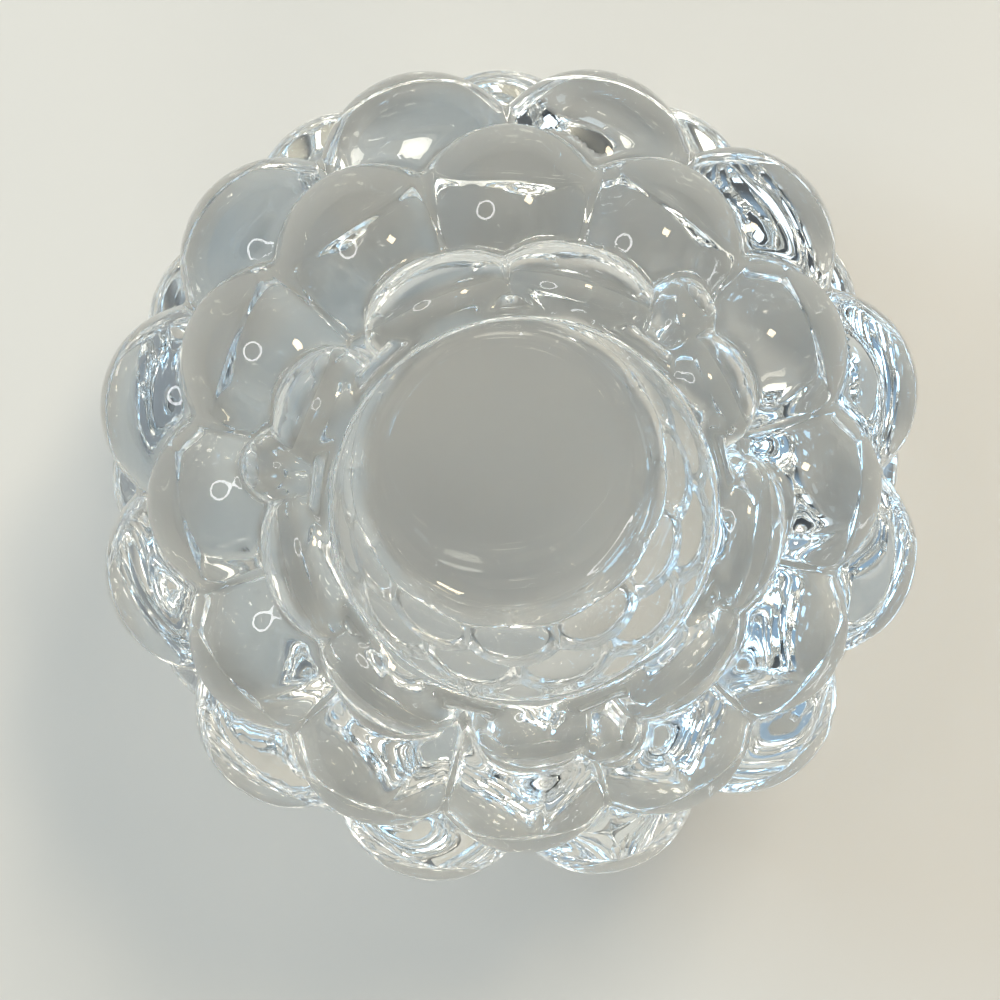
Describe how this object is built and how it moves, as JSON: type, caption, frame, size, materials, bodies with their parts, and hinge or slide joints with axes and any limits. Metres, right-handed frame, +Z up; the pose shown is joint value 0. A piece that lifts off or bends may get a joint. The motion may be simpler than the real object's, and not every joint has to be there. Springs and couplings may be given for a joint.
{
  "type": "votive candle holder",
  "caption": "Round holder of thick clear glass, its outside packed with rounded drops like a berry, with a flat foot and a tapered well in the middle for a small candle.",
  "frame": {"origin": "centre of the flat foot, on the surface that the holder stands on", "axes": "+Z up along the axis of the well, out of its mouth; +X and +Y each through the middle of a drop in the lower of the two widest rows"},
  "size_m": [0.1006, 0.1006, 0.0785],
  "materials": {
    "clear_glass": "polished"
  },
  "bodies": {
    "root": {"glass_holder": "clear_glass"}
  },
  "joints": []
}
